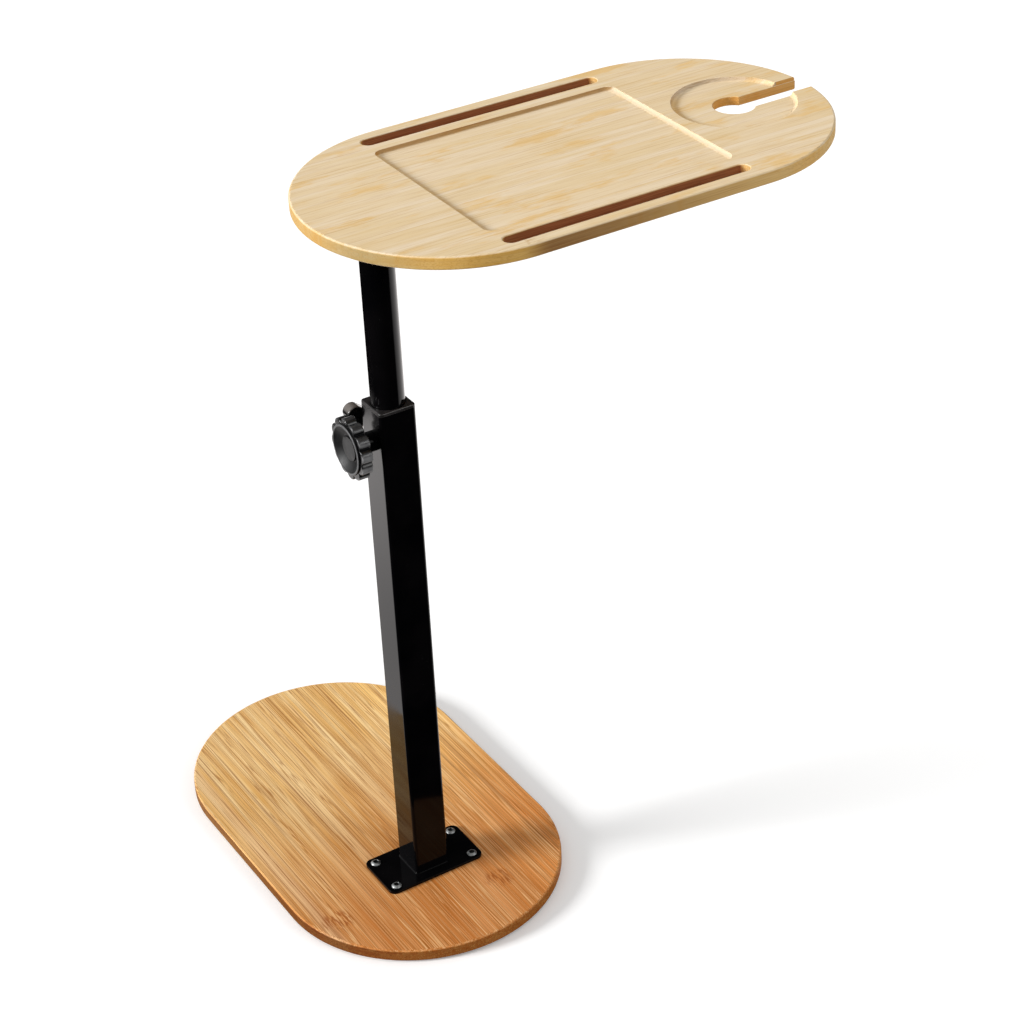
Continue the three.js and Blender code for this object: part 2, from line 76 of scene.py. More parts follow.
def rounded(length, width, radius, steps):
    """Rectangle with rounded corners."""
    points = []
    for side_x, side_y, start in ((1, -1, -90), (1, 1, 0), (-1, 1, 90), (-1, -1, 180)):
        cx, cy = side_x * (length / 2 - radius), side_y * (width / 2 - radius)
        for i in range(steps + 1):
            a = math.radians(start + 90 * i / steps)
            points.append((cx + radius * math.cos(a), cy + radius * math.sin(a)))
    kept = []
    for p in points:
        if not kept or math.dist(p, kept[-1]) > 1e-6:
            kept.append(p)
    if math.dist(kept[0], kept[-1]) < 1e-6:
        kept.pop()
    return kept


def stadium(length, width, steps):
    return rounded(length, width, min(length, width) / 2, steps)


def circle(radius, count):
    return [(radius * math.cos(2 * math.pi * i / count), radius * math.sin(2 * math.pi * i / count))
            for i in range(count)]


def hexagon(flats):
    return circle(flats / math.sqrt(3), 6)


def subdivided(outline, longest):
    """Outline with its long sides divided."""
    points = []
    for i, p in enumerate(outline):
        q = outline[(i + 1) % len(outline)]
        parts = max(1, math.ceil(math.dist(p, q) / longest))
        points += [(p[0] + (q[0] - p[0]) * k / parts, p[1] + (q[1] - p[1]) * k / parts) for k in range(parts)]
    return points


def grown(outline, distance):
    """Outline moved outwards by distance, along its normals."""
    count = len(outline)
    moved = []
    for i, (x, y) in enumerate(outline):
        ax, ay = outline[i - 1]
        bx, by = outline[(i + 1) % count]
        tx, ty = bx - ax, by - ay
        size = math.hypot(tx, ty)
        moved.append((x + distance * ty / size, y - distance * tx / size))
    return moved


def keyhole(reach, grow):
    """Round hole at the origin with a slot that runs out along +X."""
    half, radius = KEYHOLE_WIDTH / 2 + grow, KEYHOLE_RADIUS + grow
    mouth = math.asin((KEYHOLE_WIDTH / 2 + grow) / radius)
    points = [(reach, -half), (reach, half)]
    steps = 96
    for i in range(steps + 1):
        a = mouth + (2 * math.pi - 2 * mouth) * i / steps
        points.append((radius * math.cos(a), radius * math.sin(a)))
    return points


# ---------------------------------------------------------------- meshes

def new_object(name, mesh):
    obj = bpy.data.objects.new(name, mesh)
    bpy.context.scene.collection.objects.link(obj)
    return obj


def loft(name, layers, closed=False):
    """Skin through outlines of equal point counts, given as (outline, z) in millimetres."""
    mesh = bmesh.new()
    rings = [[mesh.verts.new((x * MM, y * MM, z * MM)) for x, y in outline] for outline, z in layers]
    count = len(rings[0])
    pairs = list(zip(rings, rings[1:]))
    if closed:
        pairs.append((rings[-1], rings[0]))
    for low, high in pairs:
        for i in range(count):
            j = (i + 1) % count
            mesh.faces.new((low[i], low[j], high[j], high[i]))
    if not closed:
        mesh.faces.new(list(reversed(rings[0])))
        mesh.faces.new(rings[-1])
    bmesh.ops.recalc_face_normals(mesh, faces=mesh.faces)
    data = bpy.data.meshes.new(name)
    mesh.to_mesh(data)
    mesh.free()
    return new_object(name, data)


def prism(name, outline, low, high):
    return loft(name, [(outline, low), (outline, high)])


def turned(name, profile, count=96):
    """Revolve about Z of (radius, z) pairs; it closes on itself when it starts off the axis."""
    on_axis = profile[0][0] == 0
    body = profile[1:-1] if on_axis else profile
    return loft(name, [(circle(r, count), z) for r, z in body], closed=not on_axis)


def eased_layers(outline_at, low, high, radius, steps):
    """Layers of a slab with both edges rounded; outline_at(inset) gives its outline drawn in."""
    lower = []
    for i in range(steps + 1):
        a = math.pi / 2 * i / steps
        lower.append((outline_at(radius * (1 - math.sin(a))), radius * (1 - math.cos(a))))
    return [(o, low + z) for o, z in lower] + [(o, high - z) for o, z in reversed(lower)]


def arc(cx, cz, radius, start, end, steps):
    """Profile points on an arc, angles in degrees."""
    return [(cx + radius * math.cos(math.radians(start + (end - start) * i / steps)),
             cz + radius * math.sin(math.radians(start + (end - start) * i / steps)))
            for i in range(steps + 1)]


def shift(obj, x=0.0, y=0.0, z=0.0):
    obj.data.transform(Matrix.Translation((x * MM, y * MM, z * MM)))
    return obj


def boolean(obj, cutters, operation="DIFFERENCE"):
    """Cuts or joins solids, and leaves one plain mesh."""
    for cutter in cutters:
        step = obj.modifiers.new("solid", "BOOLEAN")
        step.operation = operation
        step.solver = "EXACT"
        step.object = cutter
    bpy.context.view_layer.update()
    done = obj.evaluated_get(bpy.context.evaluated_depsgraph_get())
    data = bpy.data.meshes.new_from_object(done)
    obj.modifiers.clear()
    old, obj.data = obj.data, data
    bpy.data.meshes.remove(old)
    data.name = obj.name
    for cutter in cutters:
        mesh = cutter.data
        bpy.data.objects.remove(cutter)
        bpy.data.meshes.remove(mesh)
    clean = bmesh.new()
    clean.from_mesh(data)
    bmesh.ops.remove_doubles(clean, verts=clean.verts, dist=1e-7)
    bmesh.ops.dissolve_degenerate(clean, edges=clean.edges, dist=1e-8)
    clean.to_mesh(data)
    clean.free()
    return obj


def smooth(obj, angle=32):
    """Smooth shading that keeps flat faces flat and true edges crisp."""
    data = obj.data
    data.polygons.foreach_set("use_smooth", [True] * len(data.polygons))
    data.set_sharp_from_angle(angle=math.radians(angle))
    weighted = obj.modifiers.new("weighted", "WEIGHTED_NORMAL")
    weighted.keep_sharp = True
    weighted.weight = 80
    return obj


def place(obj, matrix):
    obj.data.transform(matrix)
    return obj


def at_mast(obj, z=0.0):
    return place(obj, Matrix.Translation(MAST + Vector((0, 0, z * MM))))


def finish(obj, material, body, slot, *nodes):
    """Material, body, slot (not used) and the CAD nodes that a piece stands for."""
    obj.data.materials.clear()
    obj.data.materials.append(material)
    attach(obj, body)
    if nodes:
        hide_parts(*nodes)
    return obj


# ---------------------------------------------------------------- materials

def linear(red, green, blue):
    """Linear colour from 0 to 255 values."""
    def channel(value):
        value /= 255
        return value / 12.92 if value <= 0.04045 else ((value + 0.055) / 1.055) ** 2.4
    return (channel(red), channel(green), channel(blue), 1.0)


class Shader:
    """Builds the nodes of one material or world."""

    def __init__(self, owner):
        self.owner = owner
        owner.use_nodes = True
        self.tree = owner.node_tree
        self.tree.nodes.clear()
        self.coords = self.tree.nodes.new("ShaderNodeTexCoord")

    def put(self, socket, value):
        if isinstance(value, bpy.types.NodeSocket):
            self.tree.links.new(value, socket)
        else:
            socket.default_value = value

    def node(self, kind, inputs=None, **settings):
        made = self.tree.nodes.new(kind)
        for key, value in settings.items():
            setattr(made, key, value)
        for key, value in (inputs or {}).items():
            self.put(made.inputs[key], value)
        return made

    def math(self, operation, *values):
        made = self.node("ShaderNodeMath", operation=operation)
        for socket, value in zip(made.inputs, values):
            self.put(socket, value)
        return made.outputs[0]

    def times(self, first, *others):
        for other in others:
            first = self.math("MULTIPLY", first, other)
        return first

    def minus(self, first, second):
        return self.math("SUBTRACT", first, second)

    def size(self, value):
        return self.math("ABSOLUTE", value)

    def length(self, x, y):
        return self.math("SQRT", self.math("ADD", self.times(x, x), self.times(y, y)))

    def split(self, vector):
        return self.node("ShaderNodeSeparateXYZ", {0: vector}).outputs

    def join(self, x, y, z):
        return self.node("ShaderNodeCombineXYZ", {0: x, 1: y, 2: z}).outputs[0]

    def noise(self, vector, scale=1.0, detail=2.0, rough=0.5):
        return self.node("ShaderNodeTexNoise", {
            "Vector": vector, "Scale": scale, "Detail": detail, "Roughness": rough}).outputs[0]

    def between(self, value, low, high, first=0.0, last=1.0):
        """Value carried smoothly from low..high to first..last."""
        made = self.node("ShaderNodeMapRange", interpolation_type="SMOOTHSTEP")
        for key, number in enumerate((value, low, high, first, last)):
            self.put(made.inputs[key], number)
        return made.outputs[0]

    def inside(self, value, limit, fade):
        """1 up to a limit in millimetres, then fading to 0."""
        return self.between(value, limit * MM, (limit + fade) * MM, 1.0, 0.0)

    def mix(self, share, first, second, blend="MIX"):
        made = self.node("ShaderNodeMix", data_type="RGBA", blend_type=blend)
        self.put(made.inputs[0], share)
        self.put(made.inputs[6], first)
        self.put(made.inputs[7], second)
        return made.outputs[2]

    def tinted(self, share, colour, tint):
        """Colour multiplied by a tint, by share."""
        if not isinstance(tint, bpy.types.NodeSocket):
            tint = (*tint, 1)
        return self.mix(share, colour, self.mix(1.0, colour, tint, "MULTIPLY"))

    def bump(self, height, strength, distance):
        return self.node("ShaderNodeBump", {
            "Height": height, "Strength": strength, "Distance": distance}).outputs[0]

    def surface(self, **inputs):
        shader = self.node("ShaderNodeBsdfPrincipled", {
            key.replace("_", " "): value for key, value in inputs.items()})
        self.node("ShaderNodeOutputMaterial", {0: shader.outputs[0]})
        return self.owner


def painted_foot_light(s, colour, from_mast, off_mast):
    """Painted light on the foot board: painted light at the far left, fading to orange painted shade at the near
    right; a painted lift of light right of the mast, where its shadow falls; and one pale streak of painted sheen.
    """
    light_falloff = s.math("MULTIPLY_ADD", from_mast, 0.3, s.times(off_mast, -0.85))
    shaded_tone = s.mix(1.0, colour, (0.75, 0.48, 0.33, 1), "MULTIPLY")
    lit_tone = s.mix(1.0, colour, (1.07, 1.13, 1.13, 1), "MULTIPLY")
    colour = s.mix(s.between(light_falloff, -0.2, 0.05), lit_tone, shaded_tone)
    colour = s.tinted(s.between(from_mast, 0.03, 0.11), colour, (1.22, 1.27, 1.26))
    sheen_streak = s.inside(s.size(s.math("ADD", from_mast, 0.121)), 2, 7)
    return s.mix(s.times(sheen_streak, 0.45), colour, linear(236, 200, 156))


def hair_lines(s, colour, hairs, line, pale):
    """Hair lines that run the length of the board, at levels of one slow noise."""
    for level, tone, share in ((0.5, line, 0.6), (0.43, line, 0.45), (0.57, line, 0.45),
                               (0.465, pale, 0.4), (0.535, pale, 0.4)):
        hair = s.between(s.size(s.minus(hairs, level)), 0.004, 0.015, share, 0.0)
        colour = s.mix(hair, colour, tone)
    return colour


def torn_fans(s, colour, x, y, flat_face):
    """Two strips of the foot board end in a fan of torn fibres."""
    for cx, cy, reach in ((-0.1067, -0.1569, 0.017), (-0.2606, -0.1233, 0.019)):
        dx, dy = s.minus(x, cx), s.minus(y, cy)
        bend = s.times(dx, dx, 28.0)
        torn = s.noise(s.join(s.times(dx, 620.0), s.times(s.math("ADD", dy, bend), 75.0), cx), detail=2.0)
        fan = s.times(s.between(torn, 0.5, 0.58), s.between(s.length(dx, dy), reach * 0.5, reach, 1.0, 0.0))
        colour = s.mix(s.times(fan, flat_face, 0.75), colour, linear(150, 76, 24))
    return colour


class TopPlaces:
    """Where the seats, coves and cuts of the tray top are, as shares from 0 to 1."""

    def __init__(self, s, from_mast, off_mast, depth):
        self.depth = depth
        self.aside = s.size(off_mast)
        self.cup_x = s.minus(from_mast, CUP_X * MM)
        self.from_cup = s.length(self.cup_x, self.aside)
        tray_x = s.size(s.minus(from_mast, TRAY_CENTRE_X * MM))
        self.tray = s.times(s.inside(tray_x, TRAY_LENGTH / 2 + SEAT_MARGIN, SEAT_FADE),
                            s.inside(self.aside, TRAY_WIDTH / 2 + SEAT_MARGIN, SEAT_FADE))
        self.cup = s.inside(self.from_cup, CUP_RADIUS + SEAT_MARGIN, SEAT_FADE)
        self.cove = s.times(s.math("MAXIMUM", self.tray, self.cup), s.inside(depth, SEAT_DEPTH, 0.2))
        self.above_bottom = s.inside(depth, BOARD_THICKNESS - 1.6, 1)
        self.keyhole = s.times(s.inside(self.from_cup, 100, 10), s.inside(self.aside, KEYHOLE_RADIUS + 0.5, 1))


def top_edge_shade(s, places, from_mast, nx, ny):
    """Painted shade on the sides of the tray top: the near side is painted dark where the tray begins and pale at
    the far end, and faces that look left are painted darker; other upright faces get a warm tint, partly the edge
    grain's colour and partly painted shade, and the cut walls are golden.
    """
    shade = s.mix(s.between(from_mast, 0.08, 0.34), (0.40, 0.26, 0.13, 1), (0.98, 0.82, 0.5, 1))
    left = s.mix(s.between(nx, -0.5, -0.95), (0.9, 0.68, 0.28, 1), (0.53, 0.49, 0.34, 1))
    shade = s.mix(s.between(from_mast, 0.055, 0.088), left, shade)
    shade = s.mix(s.between(ny, 0.0, -0.5), (0.726, 0.598, 0.353, 1), shade)
    return s.mix(places.keyhole, shade, (0.92, 0.64, 0.3, 1))


def painted_cut_shade(s, places, colour, from_mast, nx, ny, fine):
    """Painted shade in the cuts: a painted cast shadow of the lip inside the left walls of the tray and the cup,
    painted shade on cove walls that face the near side, a duller painted tone on the tray's cove wall that faces
    left into the key light, and dark reddish-brown painted shade on the long walls of the grooves.
    """
    # Painted cast shadow of the lip, just inside the left walls of the tray and the cup
    left_wall = s.times(s.inside(s.minus(from_mast, (TRAY_CENTRE_X - TRAY_LENGTH / 2) * MM), 3, 6), places.tray)
    cup_left = s.math("DIVIDE", places.cup_x, s.math("MAXIMUM", places.from_cup, 0.001))
    cup_wall = s.times(s.between(places.from_cup, 0.046, 0.052), places.cup, s.between(cup_left, -0.35, -0.85))
    sunk = s.times(s.between(places.depth, 0.0001, 0.0006), places.above_bottom)
    lip_shadow = s.times(s.math("MAXIMUM", left_wall, cup_wall), sunk)
    colour = s.tinted(lip_shadow, colour, (1.0, 0.86, 0.62))
    # Painted shade on cove walls that face the near side
    facing_near = s.times(s.between(ny, -0.25, -0.6), places.cove)
    colour = s.tinted(s.times(facing_near, s.minus(1.0, places.tray)), colour, (0.76, 0.74, 0.76))
    # A duller painted tone on the tray's cove wall that faces left, into the key light
    facing_left = s.times(s.between(nx, -0.25, -0.6), places.tray, places.cove)
    colour = s.mix(s.times(facing_left, 0.85), colour, linear(208, 190, 162))
    # Painted shade, darker and browner, on the tray's cove wall that faces the near side
    colour = s.tinted(s.times(facing_near, places.tray), colour, (0.6, 0.45, 0.28))

    # Painted shade: the long walls of the grooves are dark reddish-brown
    groove = s.times(s.inside(s.size(s.minus(places.aside, GROOVE_Y * MM)), GROOVE_WIDTH / 2 + 0.1, 0.5),
                     s.inside(s.size(s.minus(from_mast, GROOVE_X * MM)), GROOVE_LENGTH / 2 - 1.5, 1),
                     s.between(places.depth, 0.0005, 0.0014), places.above_bottom,
                     s.between(s.size(nx), 0.35, 0.75, 1.0, 0.0))
    groove_shade = s.mix(s.between(fine, 0.35, 0.65), linear(166, 104, 66), linear(138, 82, 50))
    return s.mix(s.times(groove, 0.92), colour, groove_shade)


def bamboo(name, tones, low_z, strip, line_strength, knuckle_period, knuckle_share, top=False):
    """Laminated bamboo: strips and plies with fibres along the grain, knuckles, and speckled end grain.

    The tray top's grain runs along X and the foot board's along Y.
    """
    s = Shader(bpy.data.materials.new(name))
    base, pale, deep, line = (linear(*tone) for tone in tones)
    place_of = s.coords.outputs["Object"]
    x, y, z = s.split(place_of)
    nx, ny, nz = s.split(s.coords.outputs["Normal"])
    from_mast, off_mast = s.minus(x, MAST.x), s.minus(y, MAST.y)
    run, across = (x, y) if top else (y, x)
    end_face = s.size(nx if top else ny)
    flat_face = s.size(nz)

    # Fibres sway a little along the board
    sway = s.noise(s.join(s.times(run, 5.0), s.times(across, 12.0), 0.0), detail=1.0)
    across = s.math("MULTIPLY_ADD", s.minus(sway, 0.5), 0.0014, across)
    plies = s.math("DIVIDE", s.minus(z, low_z), BOARD_THICKNESS / PLIES * MM)
    ply = s.math("FLOOR", plies)
    stripes = s.math("DIVIDE", s.math("MULTIPLY_ADD", ply, 0.007, across), strip)
    within = s.math("FRACT", stripes)
    chance = s.node("ShaderNodeTexWhiteNoise", {
        "Vector": s.join(s.math("FLOOR", stripes), ply, 3.0)}, noise_dimensions="3D")
    luck, second_luck = chance.outputs["Value"], s.split(chance.outputs["Color"])[1]

    def fibres(length, width, seed, detail=2.0):
        return s.noise(s.join(
            s.math("MULTIPLY_ADD", run, 1 / length, s.times(luck, 37.0)),
            s.times(across, 1 / width),
            s.math("MULTIPLY_ADD", z, 1 / width, seed)), detail=detail)

    broad = fibres(0.16 if top else 0.3, 0.008, 4.0)
    medium = fibres(0.09, 0.0012, 11.0) if top else fibres(0.4, 0.0013, 11.0)
    fine = fibres(0.03 if top else 0.12, 0.0007, 23.0, 3.0)
    cloud = s.noise(place_of, 9.0, 2.0)

    colour = s.mix(s.between(broad, 0.36, 0.52), pale, base)
    colour = s.mix(s.between(broad, 0.52, 0.7, 0.0, 0.35 if top else 0.8), colour, deep)
    colour = s.mix(s.between(luck, 0.5, 1.0, 0.0, 0.4), colour, deep)
    colour = s.mix(s.between(luck, 0.35, 0.0, 0.0, 0.5), colour, pale)
    colour = s.mix(s.between(cloud, 0.42, 0.68, 0.0, 0.35), colour, pale)
    if top:
        # Golden patches where the culm wall was thick
        patch = s.noise(s.join(s.times(x, 10.0), s.times(y, 34.0), 7.0), detail=4.0, rough=0.65)
        colour = s.mix(s.between(patch, 0.52, 0.66, 0.0, 0.75), colour, linear(226, 186, 118))
    else:
        colour = painted_foot_light(s, colour, from_mast, off_mast)
    dark_lines = s.between(medium, 0.56, 0.66) if top else s.between(medium, 0.58, 0.68)
    pale_lines = s.between(medium, 0.42, 0.33)
    colour = s.mix(s.times(pale_lines, 0.6 * line_strength), colour, pale)
    colour = s.mix(s.times(dark_lines, 0.7 * line_strength), colour, line)
    colour = s.mix(s.between(fine, 0.5, 0.72 if top else 0.63, 0.0, 0.7 * line_strength), colour, line)
    if not top:
        colour = hair_lines(s, colour, fibres(0.35, 0.0042, 57.0, 1.0), line, pale)

    # Knuckles: an arched line across a strip, with a fan of short dark fibres on one side
    arch = s.times(s.math("POWER", s.minus(within, 0.5), 2.0), 0.014)
    along = s.math("ADD", s.math("DIVIDE", run, knuckle_period), second_luck)
    away = s.math("MULTIPLY_ADD", s.minus(s.math("FRACT", along), 0.5), knuckle_period, arch)
    ridge = s.inside(s.size(away), 0.4, 1.5)
    reach = s.times(s.between(away, -0.001, 0.001), s.inside(away, 4, 16))
    dashes = s.between(fibres(0.012, 0.0016, 41.0), 0.5, 0.62)
    rare = s.math("LESS_THAN", s.math("FRACT", s.times(second_luck, 7.3)), knuckle_share)
    knuckle = s.times(s.math("MAXIMUM", s.times(ridge, 0.55), s.times(reach, dashes)), rare, flat_face)
    colour = s.mix(s.times(knuckle, 0.6), colour, line)
    if not top:
        colour = torn_fans(s, colour, x, y, flat_face)

    # Joints between the strips
    seam = s.math("MINIMUM", within, s.minus(1.0, within))
    colour = s.mix(s.between(seam, 0.0, 0.022, 0.42 * line_strength, 0.0), colour, line)

    # Upright faces get a warmer, darker tint, partly the edge grain's own colour and partly painted shade by which
    # way they face, with glue lines; end grain is speckled with vessels
    layer = s.math("FRACT", plies)
    glue = s.between(s.math("MINIMUM", layer, s.minus(1.0, layer)), 0.0, 0.09, 0.4, 0.0)
    upright = s.between(flat_face, 0.25, 0.8, 1.0, 0.0)
    if top:
        places = TopPlaces(s, from_mast, off_mast, s.minus(low_z + BOARD_THICKNESS * MM, z))
        upright = s.times(upright, s.minus(1.0, places.cove))
        shade = top_edge_shade(s, places, from_mast, nx, ny)
    else:
        # Painted shade: sides of the foot board that face left are painted much darker
        shade = s.mix(s.between(nx, -0.1, -1.0), (0.73, 0.6, 0.35, 1), (0.27, 0.18, 0.09, 1))
    colour = s.tinted(upright, colour, shade)
    colour = s.mix(s.times(upright, glue), colour, line)
    cells = s.node("ShaderNodeTexVoronoi", {"Vector": place_of, "Scale": 900.0}).outputs[0]
    vessels = s.times(s.between(cells, 0.2, 0.42, 1.0, 0.0), s.between(fine, 0.35, 0.6))
    ends = s.times(upright, s.between(end_face, 0.35, 0.9))
    colour = s.mix(s.times(vessels, ends, 0.65), colour, line)
    if top:
        colour = painted_cut_shade(s, places, colour, from_mast, nx, ny, fine)

    # Satin varnish that follows the fibres
    rough = s.math("ADD", s.between(fine, 0.3, 0.7, 0.5, 0.62), s.between(cloud, 0.3, 0.7, -0.03, 0.05))
    rough = s.math("MULTIPLY_ADD", upright, 0.12, rough)
    height = s.math("ADD", s.times(fine, 0.6), s.times(dark_lines, -0.5))
    height = s.minus(height, s.times(knuckle, 0.8))
    normal = s.bump(height, 0.25, 0.00012)
    return s.surface(Base_Color=colour, Roughness=rough, Normal=normal, IOR=1.42, Specular_IOR_Level=0.2)


def enamel(name):
    """Gloss black enamel with orange peel, dust and rubbed patches."""
    s = Shader(bpy.data.materials.new(name))
    place_of = s.coords.outputs["Object"]
    x, y, z = s.split(place_of)
    haze = s.noise(place_of, 22.0, 3.0)
    peel = s.noise(place_of, 420.0, 2.0)
    rubbed_and_sheen = s.noise(s.join(s.times(x, 900.0), s.times(y, 900.0), s.times(z, 22.0)), detail=2.0)
    dust = s.node("ShaderNodeTexVoronoi", {"Vector": place_of, "Scale": 260.0}).outputs[0]
    specks = s.times(s.between(dust, 0.03, 0.07, 1.0, 0.0), s.between(haze, 0.5, 0.7))
    colour = s.mix(s.between(haze, 0.35, 0.7), linear(3, 3, 4), linear(8, 7, 8))
    colour = s.mix(s.times(specks, 0.35), colour, linear(120, 118, 114))
    rough = s.math("ADD", s.between(haze, 0.3, 0.75, 0.05, 0.12), s.between(rubbed_and_sheen, 0.6, 0.8, 0.0, 0.08))
    normal = s.bump(peel, 0.06, 0.00006)
    return s.surface(Base_Color=colour, Roughness=rough, Normal=normal, IOR=1.5,
                     Specular_Tint=(0.05, 0.05, 0.05, 1))


def plastic(name, dark, light, rough_low, rough_high, grain=2600.0, rubbed_and_sheen=None):
    """Moulded plastic with a fine grain; where given, a paler tone is painted on faces that look up, a painted
    reflection of the sky.
    """
    s = Shader(bpy.data.materials.new(name))
    place_of = s.coords.outputs["Object"]
    patches = s.noise(place_of, 70.0, 3.0)
    pores = s.noise(place_of, grain, 2.0)
    colour = s.mix(s.between(patches, 0.35, 0.7), linear(*dark), linear(*light))
    rough = s.math("ADD", s.between(patches, 0.3, 0.7, rough_low, rough_high),
                   s.between(pores, 0.3, 0.7, -0.04, 0.04))
    normal = s.bump(pores, 0.18, 0.00005)
    if rubbed_and_sheen:
        upward = s.between(s.split(s.coords.outputs["Normal"])[2], 0.15, 0.75)
        upward_sheen = s.times(upward, s.between(patches, 0.3, 0.6, 0.6, 1.0))
        colour = s.mix(upward_sheen, colour, linear(*rubbed_and_sheen))
    return s.surface(Base_Color=colour, Roughness=rough, Normal=normal, IOR=1.5)


def knob_plastic(name):
    """Black plastic of the star knob and its cap, with painted grey highlights on the lobe crests."""
    s = Shader(bpy.data.materials.new(name))
    place_of = s.coords.outputs["Object"]
    x, y, z = s.split(place_of)
    radius = s.length(s.minus(y, MAST.y), s.minus(z, CLAMP_Z * MM))
    patches = s.noise(place_of, 160.0, 3.0)
    pores = s.noise(place_of, 2600.0, 2.0)
    nz = s.split(s.coords.outputs["Normal"])[2]
    # Painted highlight: grey on the lobe crests, strongest where the crests face sideways and down
    rubbed_and_sheen = s.times(s.between(radius, 0.0264, 0.0283), s.between(patches, 0.3, 0.6, 0.7, 1.0),
                     s.between(nz, 0.1, 0.6, 1.0, 0.15))
    colour = s.mix(s.between(patches, 0.35, 0.7), linear(6, 6, 7), linear(14, 14, 15))
    colour = s.mix(rubbed_and_sheen, colour, linear(128, 128, 129))
    # The cap's disc is paler than the dish, and the lip carries a painted highlight
    colour = s.mix(s.between(radius, 0.0108, 0.0112, 0.9, 0.0), colour, linear(44, 44, 44))
    lip = s.times(s.between(radius, 0.0208, 0.0216), s.inside(radius, 23.4, 0.8),
                  s.between(x, MAST.x - 0.0438, MAST.x - 0.0434, 1.0, 0.0))
    colour = s.mix(lip, colour, linear(84, 84, 85))
    rough = s.math("ADD", s.between(patches, 0.3, 0.7, 0.16, 0.24), s.between(pores, 0.3, 0.7, -0.04, 0.04))
    rough = s.math("ADD", rough, s.between(radius, 0.0222, 0.024, 0.26, 0.0))
    normal = s.bump(pores, 0.22, 0.00005)
    return s.surface(Base_Color=colour, Roughness=rough, Normal=normal, IOR=1.5, Specular_IOR_Level=0.3)


def metal(name, dark, light, rough_low, rough_high):
    """Plated metal with turning marks, dull patches and painted shade in the sockets of the plates' screws."""
    s = Shader(bpy.data.materials.new(name))
    place_of = s.coords.outputs["Object"]
    patches = s.noise(place_of, 240.0, 3.0)
    marks = s.noise(place_of, 2200.0, 2.0)
    colour = s.mix(s.between(patches, 0.35, 0.68), linear(*dark), linear(*light))
    x, y, z = s.split(place_of)
    screw_x = s.minus(s.size(s.minus(x, MAST.x)), SCREW_X * MM)
    screw_y = s.minus(s.size(s.minus(y, MAST.y)), SCREW_Y * MM)
    # Painted shade: a dark disc over each screw socket
    colour = s.mix(s.between(s.length(screw_x, screw_y), 0.0022, 0.0029, 0.9, 0.0), colour, linear(14, 14, 14))
    rough = s.math("ADD", s.between(patches, 0.3, 0.7, rough_low, rough_high),
                   s.between(marks, 0.3, 0.7, -0.05, 0.05))
    normal = s.bump(marks, 0.15, 0.00003)
    return s.surface(Base_Color=colour, Roughness=rough, Normal=normal, Metallic=1.0)


# Tones: base, pale, deep and line
pale_bamboo = bamboo(
    "pale_bamboo", ((227, 203, 162), (231, 211, 180), (222, 192, 140), (190, 148, 92)),
    TOP_Z * MM, 0.021, 0.45, 0.42, 0.12, top=True)
warm_bamboo = bamboo(
    "warm_bamboo", ((228, 178, 110), (240, 202, 146), (214, 156, 84), (150, 88, 34)),
    FOOT_Z * MM, 0.022, 0.95, 0.40, 0.05)
black_enamel = enamel("black_enamel")
black_plastic = plastic("black_plastic", (12, 12, 13), (22, 22, 23), 0.2, 0.32)
knob_sheen_plastic = knob_plastic("knob_sheen_plastic")
# The wing grip's upward faces carry a painted reflection of the sky
wing_plastic = plastic("wing_plastic", (16, 15, 15), (26, 25, 25), 0.16, 0.26, rubbed_and_sheen=(104, 97, 92))
bush_plastic = plastic("bush_plastic", (30, 28, 28), (48, 44, 44), 0.24, 0.36)
pad_rubber = plastic("pad_rubber", (38, 38, 38), (52, 51, 50), 0.75, 0.9, 1400.0)
white_nylon = plastic("white_nylon", (214, 210, 200), (226, 223, 214), 0.45, 0.6)
zinc_steel = metal("zinc_steel", (124, 126, 126), (158, 160, 160), 0.42, 0.55)
brass = metal("brass", (158, 122, 58), (190, 154, 84), 0.3, 0.45)


# ---------------------------------------------------------------- boards

def insert_holes(low, high):
    return [shift(prism("hole", circle(INSERT_RADIUS, 24), low, high), x * SCREW_X, y * SCREW_Y)
            for x in (-1, 1) for y in (-1, 1)]


def seat_layers(outline_at):
    """Cutter of a shallow seat: a cove from its floor up to the surface at z = 0, its lip eased."""
    rise = SEAT_DEPTH - 0.15
    radius = (COVE_WIDTH ** 2 + rise ** 2) / (2 * rise)
    sweep = math.asin(COVE_WIDTH / radius)
    layers = []
    for i in range(9):
        a = sweep * i / 8
        layers.append((outline_at(COVE_WIDTH - radius * math.sin(a)), radius * (1 - math.cos(a)) - SEAT_DEPTH))
    layers.append((outline_at(-0.22), -0.05))
    layers.append((outline_at(-SEAT_LIP), 0.0))
    layers.append((outline_at(-SEAT_LIP), BOARD_THICKNESS))
    return layers


def groove_layers():
    def outline_at(grow):
        return stadium(GROOVE_LENGTH + grow, GROOVE_WIDTH + grow, 16)
    layers = [(outline_at(-1.2), -GROOVE_DEPTH), (outline_at(-0.35), -GROOVE_DEPTH + 0.18),
              (outline_at(0), -GROOVE_DEPTH + 0.6)]
    for i in range(7):
        a = math.pi / 2 * i / 6
        layers.append((outline_at(2 * GROOVE_EDGE * (1 - math.cos(a))), GROOVE_EDGE * (math.sin(a) - 1)))
    layers.append((outline_at(2 * GROOVE_EDGE), BOARD_THICKNESS))
    return layers


